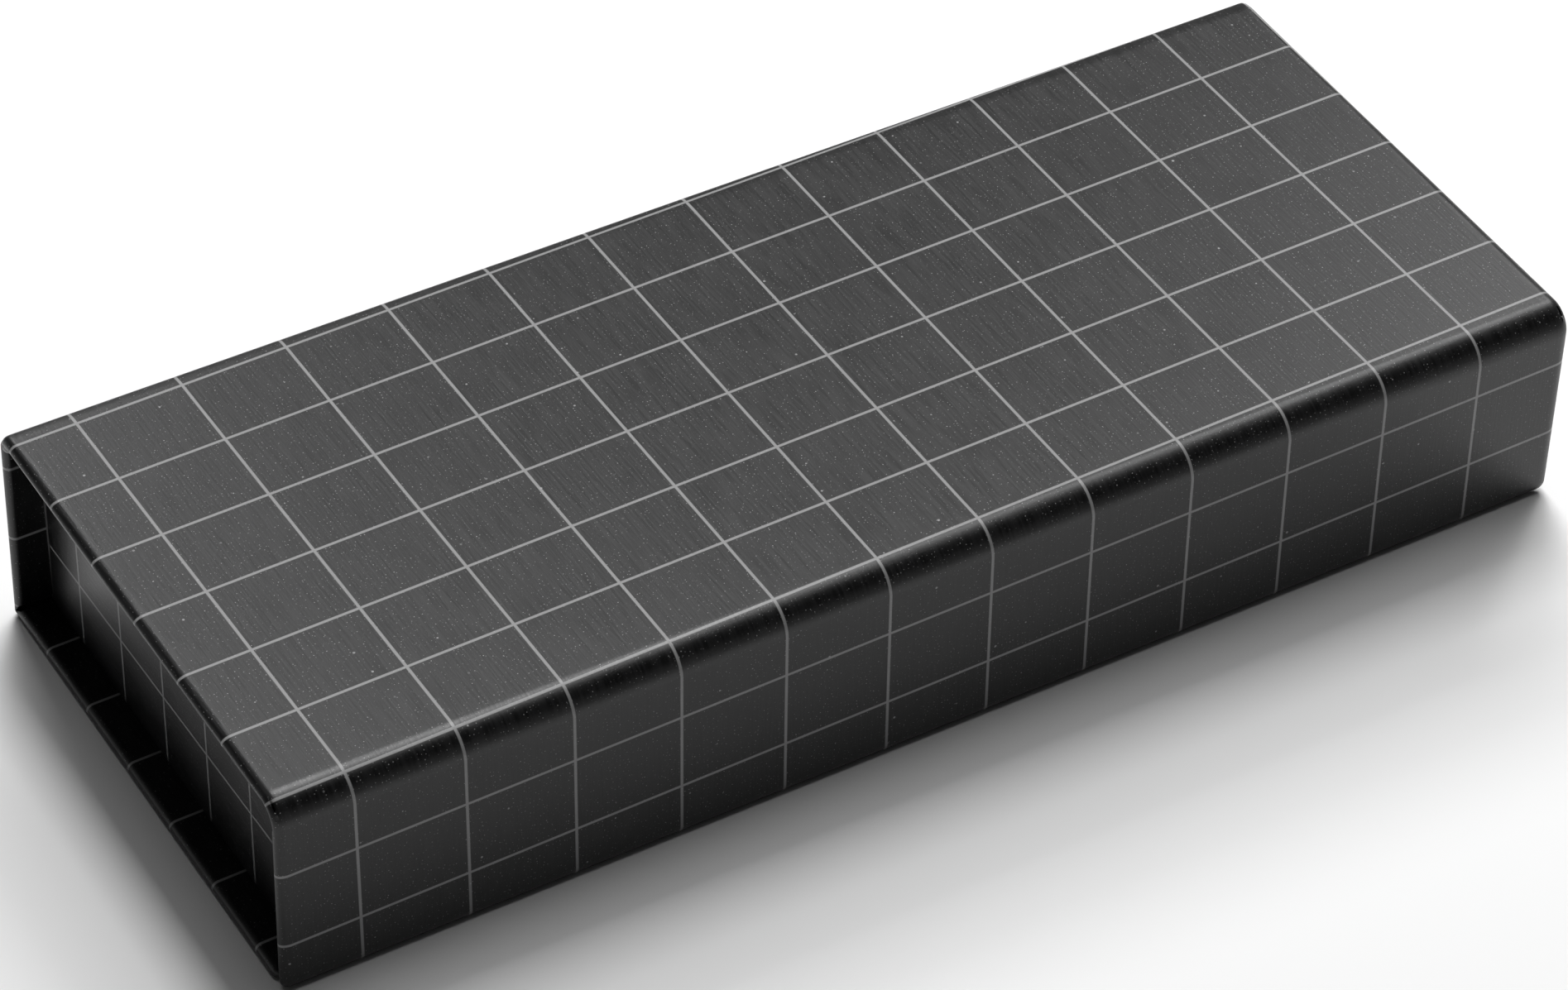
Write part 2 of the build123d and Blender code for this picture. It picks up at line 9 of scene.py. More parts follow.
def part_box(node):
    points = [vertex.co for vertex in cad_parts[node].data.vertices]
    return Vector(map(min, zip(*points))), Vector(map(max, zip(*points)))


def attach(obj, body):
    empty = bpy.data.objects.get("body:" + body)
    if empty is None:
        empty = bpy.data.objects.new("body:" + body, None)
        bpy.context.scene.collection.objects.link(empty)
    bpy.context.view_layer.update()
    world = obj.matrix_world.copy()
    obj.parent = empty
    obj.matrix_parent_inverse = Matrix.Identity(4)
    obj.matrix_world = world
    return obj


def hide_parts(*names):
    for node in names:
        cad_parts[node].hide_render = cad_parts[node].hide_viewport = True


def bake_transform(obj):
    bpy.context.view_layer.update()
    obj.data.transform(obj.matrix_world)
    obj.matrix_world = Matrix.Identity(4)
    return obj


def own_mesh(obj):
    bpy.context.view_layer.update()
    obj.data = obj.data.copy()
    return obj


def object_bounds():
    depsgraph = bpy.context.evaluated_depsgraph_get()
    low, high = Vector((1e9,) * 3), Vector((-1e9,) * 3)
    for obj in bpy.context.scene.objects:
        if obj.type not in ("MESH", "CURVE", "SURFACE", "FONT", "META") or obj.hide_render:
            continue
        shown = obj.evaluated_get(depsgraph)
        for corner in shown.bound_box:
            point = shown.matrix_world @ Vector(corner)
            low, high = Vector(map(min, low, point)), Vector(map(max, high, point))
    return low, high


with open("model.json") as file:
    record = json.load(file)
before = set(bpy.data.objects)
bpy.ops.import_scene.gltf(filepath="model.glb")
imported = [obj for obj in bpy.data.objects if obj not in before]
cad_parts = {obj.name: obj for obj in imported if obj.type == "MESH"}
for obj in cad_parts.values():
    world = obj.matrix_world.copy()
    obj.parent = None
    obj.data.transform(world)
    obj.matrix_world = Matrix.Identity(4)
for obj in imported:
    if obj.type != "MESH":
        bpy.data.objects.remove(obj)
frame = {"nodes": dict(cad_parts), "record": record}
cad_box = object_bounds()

# A presentation box for two pens: four wrapped boards and a tray, with a foam bed inside.
# Lengths are in millimetres, in the frame of the solids: X along the box, Y to the spine, Z up.
MM = 0.001


def millimetres(box):
    """The lowest and the highest corner of a box, in millimetres."""
    return [[round(value / MM, 3) for value in corner] for corner in box]


(_, flap_face_y, _), (half_length, spine_face_y, top_z) = millimetres(cad_box)
(_, tray_front_y, tray_bottom), (tray_half, tray_back_y, tray_top) = millimetres(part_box("tray_wrap"))

# The wrapped boards of the cover
lined_thickness = 1.75
board_thickness = 1.8
skin_thickness = 0.3
edge_round = 0.85
edge_reach = 1.6
corner_round = 1.4
flap_fold = 3.9
flap_bottom = 0.3
base_front_y = -37.0
spine_fold = 2.2
lid_back_y = 36.8

# The paper turns the corner at the spine's foot more sharply than the boards under it
foot_round = 0.9

# The lid's back dips gently before it rolls over into the hinge; its edges are rounder further forward
dip_start_y = 35.6
dip_radius = 10.0
dip_degrees = 11.0
dip_edge_reach = 1.15
reach_growth = 8.0

# The back hinge: the rounded back of the lid and the rounded top of the spine, with a groove between
hinge_round = 1.1
lid_roll = (37.3, 30.236)
spine_roll = (37.9, 29.5)

# The paper gathered at both ends of the hinge, on the spine's side and on the lid's
spine_gather = (37.85, 29.45)
spine_gather_round = 1.02
lid_gather = (37.2, 30.3)
lid_gather_round = 0.98
gather_inset = 0.05
gather_sides = 24

# The slit at each end of the fold, where the lid's turned-in paper meets the flap's, and the tuck below it
slit_from_end = 0.7
slit_half_width = 0.16
slit_depth = 0.55
slit_middle = 2.3
slit_half_length = 0.9
tuck_middle = 3.6
tuck_half_length = 0.5
tuck_share = 0.3

# The tray's paper
tray_wall = 1.8
tray_corner = 0.8
rim_round = 0.45
turned_in = 12.15
paper_thickness = 0.15

# The printed grid: its cells, its turn against the box, and where it starts on the lid
cell_length = 15.0
cell_width = 12.0
ruled_width = 0.4
ruled_blur = 0.07
print_turn = radians(-0.884)
print_corner_x = -85.6
print_corner_y = 35.43
print_offset = -4.626
tucked_paper = 3.66

# The same print on the tray, whose paper lies a little askew
tray_cell = 12.3
tray_line_y = 27.53
tray_line_z = 12.0
tray_lean = 0.02
tray_lean_from = 15.0
tray_rise = 0.036

# Where the sheets have their points: close together near an edge, where it is round, and evenly elsewhere
edge_marks = [0.0, 0.012, 0.05, 0.11, 0.19, 0.29, 0.41, 0.55, 0.7, 0.85, 1.0, 1.15, 1.3, 1.6]
edge_marks += [2.0, 2.6, 3.6, 5.0]
gather_marks = [0.01, 0.04, 0.1, 0.18, 0.28, 0.4, 0.55, 0.75, 1.0, 2.5]
even_from_edge = 6.0
even_step = 3.0
board_step = 2.4
wall_step = 1.8
beside_board = 0.6
beside_dip = 0.5
even_from_dip = 2.0
beside_fold = 1.0
above_tray_foot = 2.0
below_tray_rim = 1.0
tray_height_step = 2.5
tray_length_step = 4.0

# The steps in each round stretch
foot_steps = 12
groove_steps = 14
roll_steps = 16
dip_steps = 8
fold_steps = 36
rim_steps = 12
tray_arc_steps = 6

# Edges that turn by more degrees than this stay sharp
sharp_paper = 32
sharp_wire = 50

# Corners that get knocked in use, where the black wears off the round of the paper's edge
knocked_places = ((37.0, 1.0), (-38.5, 1.0), (-36.5, 0.5))
knocked_corners = [(side * half_length, y, z) for side in (-1, 1) for y, z in knocked_places]
knock_reach = 5.0
worn_from_edge = 0.2
worn_half_width = 0.5

# Places closer together than this are one
same_place = 1e-6


class Value:
    """A socket that Python expressions combine."""

    def __init__(self, finish, socket):
        self.finish = finish
        self.socket = socket

    def sum(self, operation, *terms):
        return self.finish.node("ShaderNodeMath", {"operation": operation}, dict(enumerate(terms)))

    def __add__(self, other):
        return self.sum("ADD", self, other)

    __radd__ = __add__

    def __mul__(self, other):
        return self.sum("MULTIPLY", self, other)

    __rmul__ = __mul__

    def __sub__(self, other):
        return self.sum("SUBTRACT", self, other)

    def __rsub__(self, other):
        return self.sum("SUBTRACT", other, self)

    def __truediv__(self, other):
        return self.sum("DIVIDE", self, other)

    def __rtruediv__(self, other):
        return self.sum("DIVIDE", other, self)

    def __lt__(self, other):
        return self.sum("LESS_THAN", self, other)

    def __gt__(self, other):
        return self.sum("GREATER_THAN", self, other)

    def __abs__(self):
        return self.sum("ABSOLUTE", self)

    def past_whole(self):
        return self.sum("FRACT", self)

    def most(self, other):
        return self.sum("MAXIMUM", self, other)

    def between(self, low, high, first=0.0, last=1.0):
        """Runs smoothly from first to last as the value goes from low to high."""
        return self.finish.node(
            "ShaderNodeMapRange",
            {"interpolation_type": "SMOOTHSTEP"},
            {"Value": self, "From Min": low, "From Max": high, "To Min": first, "To Max": last},
        )


class Finish:
    """A node tree for one finish."""

    def __init__(self, owner):
        owner.use_nodes = True
        self.owner = owner
        self.tree = owner.node_tree
        self.tree.nodes.clear()

    def node(self, kind, settings=None, feeds=None, output=0):
        """A new node of a kind, with its settings and what feeds its sockets; gives one of its outputs."""
        made = self.tree.nodes.new(kind)
        for name, value in (settings or {}).items():
            setattr(made, name, value)
        for key, value in (feeds or {}).items():
            if isinstance(value, Value):
                self.tree.links.new(value.socket, made.inputs[key])
            else:
                made.inputs[key].default_value = value
        return Value(self, made.outputs[output]) if made.outputs else None

    def vector(self, operation, *terms):
        return self.node("ShaderNodeVectorMath", {"operation": operation}, dict(enumerate(terms)))

    def parts(self, vector):
        return [self.node("ShaderNodeSeparateXYZ", None, {0: vector}, axis) for axis in "XYZ"]

    def noise(self, place, size, detail=2.0, roughness=0.5):
        """Noise from 0 to 1 whose features are about this size, in the units of the place."""
        feeds = {"Vector": place, "Scale": 1 / size, "Detail": detail, "Roughness": roughness}
        return self.node("ShaderNodeTexNoise", None, feeds)

    def mix(self, factor, first, second):
        """A mix of two colours, whose sockets on a mix node are 6 and 7; the mixed colour's is 2."""
        feeds = {0: factor, 6: colour(first), 7: colour(second)}
        return self.node("ShaderNodeMix", {"data_type": "RGBA"}, feeds, 2)

    def bump(self, height, depth, strength):
        """The normal of a relief of this depth, in millimetres."""
        feeds = {"Height": height, "Distance": depth * MM, "Strength": strength}
        return self.node("ShaderNodeBump", None, feeds)

    def principled(self, **feeds):
        named = {key.replace("_", " "): colour(value) for key, value in feeds.items()}
        return self.node("ShaderNodeBsdfPrincipled", None, named)

    def surface(self, shader, kind="Material"):
        self.node("ShaderNodeOutput" + kind, None, {"Surface": shader})
        return self.owner

    def solid_place(self):
        """The place on a solid, in millimetres."""
        here = self.node("ShaderNodeTexCoord", output="Object")
        return self.vector("MULTIPLY", here, (1 / MM, 1 / MM, 1 / MM))


def colour(value):
    """Numbers for a colour socket, with its alpha; anything else as it is."""
    if isinstance(value, tuple) and len(value) == 3:
        return (*value, 1.0)
    return value


def new_finish(name):
    return Finish(bpy.data.materials.new(name))


def specks(finish, place, cell, radius, share):
    """Small round marks, at most one to a cell, in a share of the cells."""
    feeds = {"Vector": place, "Scale": 1 / cell}
    settings = {"voronoi_dimensions": "2D", "feature": "F1"}
    distance = finish.node("ShaderNodeTexVoronoi", settings, feeds)
    tone = finish.node("ShaderNodeTexVoronoi", settings, feeds, "Color")
    chance, size, strength = finish.parts(tone)
    reach = (size * 0.7 + 0.5) * (radius / cell)
    return (distance / reach).between(0.5, 1.2, 1.0, 0.0) * (chance < share) * strength


def printed_paper():
    """Black printed paper: thin pale ruled lines, streaks of the fibre, dust specks and worn folds."""
    finish = new_finish("printed_paper")
    sheet = finish.node("ShaderNodeUVMap", {"uv_map": "print"})
    across, along, _ = finish.parts(sheet)
    place = finish.vector("MULTIPLY", sheet, (cell_length, cell_width, 0.0))
    wear = finish.node("ShaderNodeAttribute", {"attribute_name": "wear"}, output="Fac")

    def ruling(count, cell):
        distance = abs((count + 0.5).past_whole() - 0.5) * cell
        return distance.between(ruled_width / 2 - ruled_blur, ruled_width / 2 + ruled_blur, 1.0, 0.0)

    lines = ruling(across, cell_length).most(ruling(along, cell_width))
    grain = finish.noise(place, size=0.3, detail=3.0, roughness=0.6)
    mottle = finish.noise(place, size=9.0, detail=3.0, roughness=0.55)
    streak_place = finish.vector("MULTIPLY", place, (1.0, 0.045, 1.0))
    streaks = finish.noise(streak_place, size=0.35)
    pale_streaks = streaks.between(0.3, 0.7)
    dust = specks(finish, place, cell=0.6, radius=0.074, share=0.75)
    flecks = specks(finish, place, cell=5.0, radius=0.18, share=0.35)
    marks = (dust * 0.85 + flecks).between(0.0, 1.0)
    worn = (wear * 0.6 + grain * 0.9).between(0.95, 1.3)

    ink = finish.mix(pale_streaks, (0.001, 0.001, 0.0011), (0.0062, 0.0062, 0.0065))
    ink = finish.mix(lines * (0.82 + grain * 0.3), ink, (0.235, 0.235, 0.235))
    ink = finish.mix(marks * 0.7, ink, (0.36, 0.36, 0.36))
    ink = finish.mix(worn * 0.6, ink, (0.16, 0.155, 0.15))
    gloss = 0.24 + mottle * 0.06 + grain * 0.10 + pale_streaks * 0.05 + worn * 0.2
    normal = finish.bump(grain * 0.6 + streaks * 1.2, depth=0.02, strength=0.8)
    return finish.surface(finish.principled(Base_Color=ink, Roughness=gloss, Normal=normal))


def lining_paper():
    """Plain black lining paper, with its fibres along the box."""
    finish = new_finish("lining_paper")
    place = finish.solid_place()
    fibre_place = finish.vector("MULTIPLY", place, (0.25, 1.0, 1.0))
    fibre = finish.noise(fibre_place, size=0.5, detail=4.0, roughness=0.6)
    fine = finish.noise(place, size=0.12)
    base = finish.mix(fibre.between(0.3, 0.7), (0.010, 0.010, 0.0106), (0.021, 0.021, 0.022))
    normal = finish.bump(fibre + fine * 0.6, depth=0.03, strength=0.6)
    return finish.surface(finish.principled(Base_Color=base, Roughness=0.62 + fine * 0.2, Normal=normal))


def greyboard():
    """Grey pulp board, with pale flecks."""
    finish = new_finish("greyboard")
    place = finish.solid_place()
    pulp = finish.noise(place, size=0.8, detail=5.0, roughness=0.65)
    flecks = finish.noise(place, size=0.35, roughness=0.6).between(0.62, 0.7)
    base = finish.mix(pulp.between(0.3, 0.7), (0.12, 0.114, 0.10), (0.19, 0.18, 0.16))
    base = finish.mix(flecks * 0.6, base, (0.30, 0.28, 0.25))
    normal = finish.bump(pulp, depth=0.08, strength=0.7)
    return finish.surface(finish.principled(Base_Color=base, Roughness=0.85 + pulp * 0.1, Normal=normal))


def foam():
    """Fine black foam: small open cells over a soft, slightly uneven face."""
    finish = new_finish("foam")
    place = finish.solid_place()
    cells = finish.node("ShaderNodeTexVoronoi", {"feature": "F1"}, {"Vector": place, "Scale": 1 / 0.34})
    swell = finish.noise(place, size=6.0)
    base = finish.mix(cells.between(0.1, 0.6), (0.010, 0.010, 0.0108), (0.030, 0.030, 0.0318))
    base = finish.mix(swell.between(0.4, 0.75) * 0.3, base, (0.034, 0.034, 0.036))
    normal = finish.bump(cells + swell * 0.5, depth=0.12, strength=0.8)
    return finish.surface(finish.principled(Base_Color=base, Roughness=0.9 + swell * 0.08, Normal=normal))


def lacquer():
    """Glossy black lacquer under a clear coat, with a faint ripple."""
    finish = new_finish("black_lacquer")
    place = finish.solid_place()
    ripple = finish.noise(place, size=1.6)
    smear = finish.noise(place, size=7.0, detail=3.0)
    made = finish.principled(
        Base_Color=finish.mix(smear, (0.004, 0.004, 0.0048), (0.008, 0.008, 0.0095)),
        Roughness=0.16 + smear * 0.14,
        Coat_Weight=0.6 + ripple * 0.3,
        Coat_Roughness=0.06,
        Normal=finish.bump(ripple, depth=0.01, strength=0.35),
    )
    return finish.surface(made)


def turned_metal(name, dark, light, gloss, rings):
    """Metal turned on a lathe: fine rings along X, and a faint unevenness in its shine."""
    finish = new_finish(name)
    place = finish.solid_place()
    ring = finish.noise(finish.vector("MULTIPLY", place, (1.0, 0.02, 0.02)), size=rings)
    cloud = finish.noise(place, size=4.0, detail=3.0)
    made = finish.principled(
        Base_Color=finish.mix(cloud * 0.6 + ring * 0.4, dark, light),
        Metallic=1.0,
        Roughness=gloss + cloud * 0.08 + ring * 0.04,
        Normal=finish.bump(ring, depth=0.004, strength=0.4),
    )
    return finish.surface(made)


def moulded(name, dark, light, gloss):
    """Moulded plastic or rubber: a fine spark-eroded texture and a slight change of tone."""
    finish = new_finish(name)
    place = finish.solid_place()
    grain = finish.noise(place, size=0.16)
    cloud = finish.noise(place, size=5.0)
    base = finish.mix(cloud * 0.7 + grain * 0.3, dark, light)
    normal = finish.bump(grain, depth=0.01, strength=0.5)
    return finish.surface(finish.principled(Base_Color=base, Roughness=gloss + grain * 0.12, Normal=normal))


# Each metal's darker and lighter tone, its roughness and the width of its rings
metals = {
    "magnet": ((0.50, 0.51, 0.53), (0.62, 0.63, 0.65), 0.26, 0.3),
    "bright_plate": ((0.62, 0.63, 0.65), (0.74, 0.75, 0.77), 0.2, 0.12),
    "bare_brass": ((0.52, 0.33, 0.11), (0.68, 0.46, 0.19), 0.24, 0.15),
    "spring_steel": ((0.38, 0.385, 0.39), (0.50, 0.505, 0.51), 0.3, 0.2),
    "refill_tube": ((0.46, 0.47, 0.49), (0.58, 0.59, 0.61), 0.2, 0.2),
    "graphite": ((0.035, 0.036, 0.04), (0.06, 0.061, 0.066), 0.38, 0.1),
}

# Each moulded finish's darker and lighter tone, and its roughness
mouldings = {
    "black_plastic": ((0.012, 0.012, 0.013), (0.02, 0.02, 0.0215), 0.34),
    "white_plastic": ((0.66, 0.66, 0.63), (0.76, 0.76, 0.73), 0.3),
    "eraser_rubber": ((0.70, 0.69, 0.66), (0.82, 0.81, 0.78), 0.72),
}

finishes = {
    "printed_paper": printed_paper(),
    "lining_paper": lining_paper(),
    "greyboard": greyboard(),
    "foam": foam(),
    "black_lacquer": lacquer(),
}
for finish_name, look in metals.items():
    finishes[finish_name] = turned_metal(finish_name, *look)
for finish_name, look in mouldings.items():
    finishes[finish_name] = moulded(finish_name, *look)

slots = {part["node"]: part["material_slot"] for part in frame["record"]["subparts"]}
for node_name, node in frame["nodes"].items():
    node.data.materials.clear()
    node.data.materials.append(finishes[slots[node_name]])


def spaced(start, stop, step):
    """Evenly spaced numbers from start to stop, about a step apart."""
    count = max(1, round((stop - start) / step))
    return [start + (stop - start) * index / count for index in range(count + 1)]


def smooth_by_angle(mesh, sharp):
    for face in mesh.polygons:
        face.use_smooth = True
    mesh.set_sharp_from_angle(angle=radians(sharp))


def new_piece(name, mesh, finish_name):
    mesh.materials.append(finishes[finish_name])
    piece = bpy.data.objects.new(name, mesh)
    bpy.context.scene.collection.objects.link(piece)
    return piece


def printed_sheet(name, vertices, faces, worn=None, weld=0.0):
    """A closed sheet of printed paper. A face is a list of pairs: a point's number, and its place in the
    print. Points can have an amount of wear; those within the weld's distance, in metres, become one."""
    kept = []
    for corners in faces:
        numbers = [number for number, _ in corners]
        if len(set(numbers)) > 2:
            kept.append([corner for place, corner in enumerate(corners) if corner[0] not in numbers[:place]])
    mesh = bpy.data.meshes.new(name)
    sides = [[number for number, _ in corners] for corners in kept]
    mesh.from_pydata([Vector(vertex) * MM for vertex in vertices], [], sides)
    sheet = mesh.uv_layers.new(name="print")
    for loop, uv in enumerate(uv for corners in kept for _, uv in corners):
        sheet.data[loop].uv = uv
    wear = mesh.attributes.new("wear", "FLOAT", "POINT")
    for number, amount in (worn or {}).items():
        wear.data[number].value = amount
    work = bmesh.new()
    work.from_mesh(mesh)
    if weld:
        bmesh.ops.remove_doubles(work, verts=work.verts, dist=weld)
        bmesh.ops.dissolve_degenerate(work, dist=weld, edges=work.edges)
    bmesh.ops.recalc_face_normals(work, faces=work.faces)
    work.to_mesh(mesh)
    work.free()
    smooth_by_angle(mesh, sharp_paper)
    return new_piece(name, mesh, "printed_paper")


class Station:
    """One place along the cut through a cover: its outer face, the normal there, and the way from the cut's
    start. It also holds the thickness of the board or roll, if there is one, how far in from an edge the
    face starts to fall away, the way to the sheet's end, the way along the print, and the crease."""

    def __init__(self, y, z, ny, nz, travel):
        self.y = y
        self.z = z
        self.ny = ny
        self.nz = nz
        self.travel = travel
        self.board = 0.0
        self.reach = edge_reach
        self.from_end = half_length
        self.ruled = 0.0
        self.crease = 0.0


class Cut:
    """The cut through a cover, drawn along its outer face in the direction from the base to the flap."""

    def __init__(self, y, z):
        self.stations = []
        self.y = y
        self.z = z
        self.travel = 0.0

    def run(self, y, z, marks):
        """A straight run; marks are the distances from its start that get a station."""
        length = hypot(y - self.y, z - self.z)
        dy, dz = (y - self.y) / length, (z - self.z) / length
        for mark in marks:
            if 0.0 <= mark <= length:
                point = (self.y + dy * mark, self.z + dz * mark)
                self.stations.append(Station(*point, dz, -dy, self.travel + mark))
        self.y, self.z = y, z
        self.travel += length

    def turn(self, centre, radius, first, last, count):
        """An arc about a centre, from one angle to another in degrees."""
        for index in range(count + 1):
            angle = radians(first + (last - first) * index / count)
            travel = self.travel + radius * radians(last - first) * index / count
            point = (centre[0] + radius * cos(angle), centre[1] + radius * sin(angle))
            self.stations.append(Station(*point, cos(angle), sin(angle), travel))
        last = radians(last)
        self.y, self.z = centre[0] + radius * cos(last), centre[1] + radius * sin(last)
        self.travel = self.stations[-1].travel


def merged(stations):
    """The stations in order, without the ones that repeat a place."""
    kept = []
    for station in sorted(stations, key=lambda one: one.travel):
        if not kept or station.travel - kept[-1].travel > same_place:
            kept.append(station)
    return kept


def outline_distance(station, from_side):
    """How far a place is from the sheet's outline, and the direction to it, along X and along the cut."""
    end = station.from_end
    if end < corner_round and from_side < corner_round:
        across, along = corner_round - from_side, corner_round - end
        reach = hypot(across, along)
        return max(0.0, corner_round - reach), across / reach, along / reach
    if end < from_side:
        return end, 0.0, 1.0
    return from_side, 1.0, 0.0


def half_width(station):
    """Half the width of the sheet, which is less in its rounded corners."""
    end = station.from_end
    if end >= corner_round:
        return half_length
    return half_length - corner_round + sqrt(corner_round**2 - (corner_round - end) ** 2)


def crease_depth(station, distance):
    return station.crease * slit_depth * max(0.0, 1.0 - abs(distance - slit_from_end) / slit_half_width)


def outer_depth(station, distance):
    """How far the outer face lies under its flat: it falls away in a quarter ellipse towards the edge."""
    inward = max(0.0, 1.0 - distance / station.reach)
    return edge_round * (1.0 - sqrt(1.0 - inward**2)) + crease_depth(station, distance)


def inner_depth(station, distance):
    """The inner face: round at the edge of a board, and a skin that curls over where there is no board."""
    if station.board > 0.0:
        inner_round = station.board - edge_round
        inward = max(0.0, inner_round - distance)
        return station.board - inner_round + sqrt(inner_round**2 - inward**2)
    if distance < skin_thickness:
        return edge_round
    return min(edge_round, outer_depth(station, distance) + skin_thickness)


def rim_travel(reach, distance):
    """The way along the outer face from where it starts to fall away."""
    last = asin(max(0.0, 1.0 - distance / reach))
    travel = 0.0
    for step in range(rim_steps):
        angle = last * (step + 0.5) / rim_steps
        travel += hypot(reach * cos(angle), edge_round * sin(angle)) * last / rim_steps
    return travel


def printed(station, x, outline, end_side, inner):
    """Where a point lies on the flat printed sheet, in cells; the sheet goes round the edge and on inside."""
    distance, to_side, to_end = outline
    if inner:
        inner_round = max(skin_thickness, station.board - edge_round)
        turn = inner_round * acos(max(0.0, 1 - distance / inner_round)) + max(0.0, distance - inner_round)
        extra = rim_travel(station.reach, 0.0) - station.reach + distance + turn
    else:
        extra = rim_travel(station.reach, distance) - max(0.0, station.reach - distance)
    side = 1.0 if x > 0 else -1.0
    flat_x = x + side * to_side * extra - print_corner_x
    flat_way = station.ruled + to_end * extra * end_side
    turned_x = flat_x * cos(print_turn) + flat_way * sin(print_turn)
    turned_way = flat_way * cos(print_turn) - flat_x * sin(print_turn)
    return turned_x / cell_length, turned_way / cell_width


def wear_at(point, distance):
    """How worn the paper is: most near a knocked corner, on the round of the edge."""
    near = min((Vector(point) - Vector(corner)).length for corner in knocked_corners)
    beside = abs(distance - worn_from_edge) / worn_half_width
    return max(0.0, 1.0 - near / knock_reach) * max(0.0, 1.0 - beside)


def cover(name, stations, end_side):
    """A wrapped cover: a closed sheet along the stations. Their from_end is the way to the paper's end, which
    lies back along the cut where end_side is -1, and ahead where it is 1."""
    middle = spaced(even_from_edge - half_length, half_length - even_from_edge, even_step)
    vertices, rows, worn = [], [], {}
    for station in stations:
        width = half_width(station)
        left = [mark - width for mark in edge_marks]
        places = left + middle + [-x for x in reversed(left)]
        outer, inner = [], []
        for place, x in enumerate(places):
            outline = outline_distance(station, half_length - abs(x))
            distance = outline[0]
            at_rim = place in (0, len(places) - 1) or station.from_end < same_place
            for row, depth_of, inside in ((outer, outer_depth, False), (inner, inner_depth, True)):
                uv = printed(station, x, outline, end_side, inside)
                if inside and at_rim:
                    row.append((outer[place][0], uv))
                    continue
                depth = depth_of(station, distance)
                vertices.append((x, station.y - station.ny * depth, station.z - station.nz * depth))
                row.append((len(vertices) - 1, uv))
            number = outer[place][0]
            worn[number] = wear_at(vertices[number], distance)
        rows.append((outer, inner))
    faces = []
    for (outer, inner), (outer_next, inner_next) in zip(rows, rows[1:]):
        for place in range(len(outer) - 1):
            faces.append([outer[place], outer[place + 1], outer_next[place + 1], outer_next[place]])
            faces.append([inner[place], inner_next[place], inner_next[place + 1], inner[place + 1]])
    for (outer, inner), way in ((rows[0], 1), (rows[-1], -1)):
        for place in range(len(outer) - 1):
            faces.append([outer[place], inner[place], inner[place + 1], outer[place + 1]][::way])
    return printed_sheet(name, vertices, faces, worn)


def groove_degrees():
    """The angles, on the spine's roll and on the lid's, at which the two rolls meet."""
    dy, dz = spine_roll[0] - lid_roll[0], spine_roll[1] - lid_roll[1]
    apart = hypot(dy, dz)
    rise = sqrt(hinge_round**2 - apart**2 / 4)
    z = (spine_roll[1] + lid_roll[1]) / 2 + dy / apart * rise
    return [degrees(asin((z - centre[1]) / hinge_round)) for centre in (spine_roll, lid_roll)]


def back_stations():
    """The base and the spine, and then the hinge and the back of the lid. The hinge's groove parts the side
    of the box from the lid's."""
    cut = Cut(base_front_y, 0.0)
    foot_y = spine_face_y - foot_round
    base_length = foot_y - base_front_y
    board_length = lid_back_y - base_front_y
    even_marks = spaced(edge_marks[-1], board_length - beside_board, board_step)
    cut.run(foot_y, 0.0, edge_marks + even_marks + [board_length, base_length])
    cut.turn((foot_y, foot_round), foot_round, -90, 0, foot_steps)
    foot_end = cut.travel
    _, roll_z = spine_roll
    spine_bottom = spine_fold - foot_round
    even_marks = spaced(spine_bottom + beside_board, roll_z - foot_round, wall_step)
    cut.run(spine_face_y, roll_z, [0.0, spine_bottom] + even_marks)
    spine_top = cut.travel
    groove_spine, groove_lid = groove_degrees()
    cut.turn(spine_roll, hinge_round, 0, groove_spine, groove_steps)
    box_side = list(cut.stations)
    cut.turn(lid_roll, hinge_round, groove_lid, 90 - dip_degrees, roll_steps)
    roll_end = cut.travel
    cut.turn((dip_start_y, top_z - dip_radius), dip_radius, 90 - dip_degrees, 90, dip_steps)
    lid_side = cut.stations[len(box_side):]
    for station in box_side:
        station.from_end = station.travel
        station.ruled = station.travel - spine_top + print_offset - tucked_paper
        on_base = station.travel <= board_length + same_place
        if on_base or foot_end + spine_bottom - same_place <= station.travel <= spine_top:
            station.board = board_thickness
        elif station.travel > spine_top:
            station.board = hinge_round
    for station in lid_side:
        station.ruled = station.travel - cut.travel + print_corner_y - dip_start_y
        station.board = lined_thickness if station.travel > roll_end + same_place else hinge_round
        station.reach = dip_edge_reach
    spine_side = merged([station for station in box_side if station.travel <= spine_top + same_place])
    hinge_side = merged([station for station in box_side if station.travel >= spine_top - same_place])
    return spine_side, hinge_side + merged(lid_side)


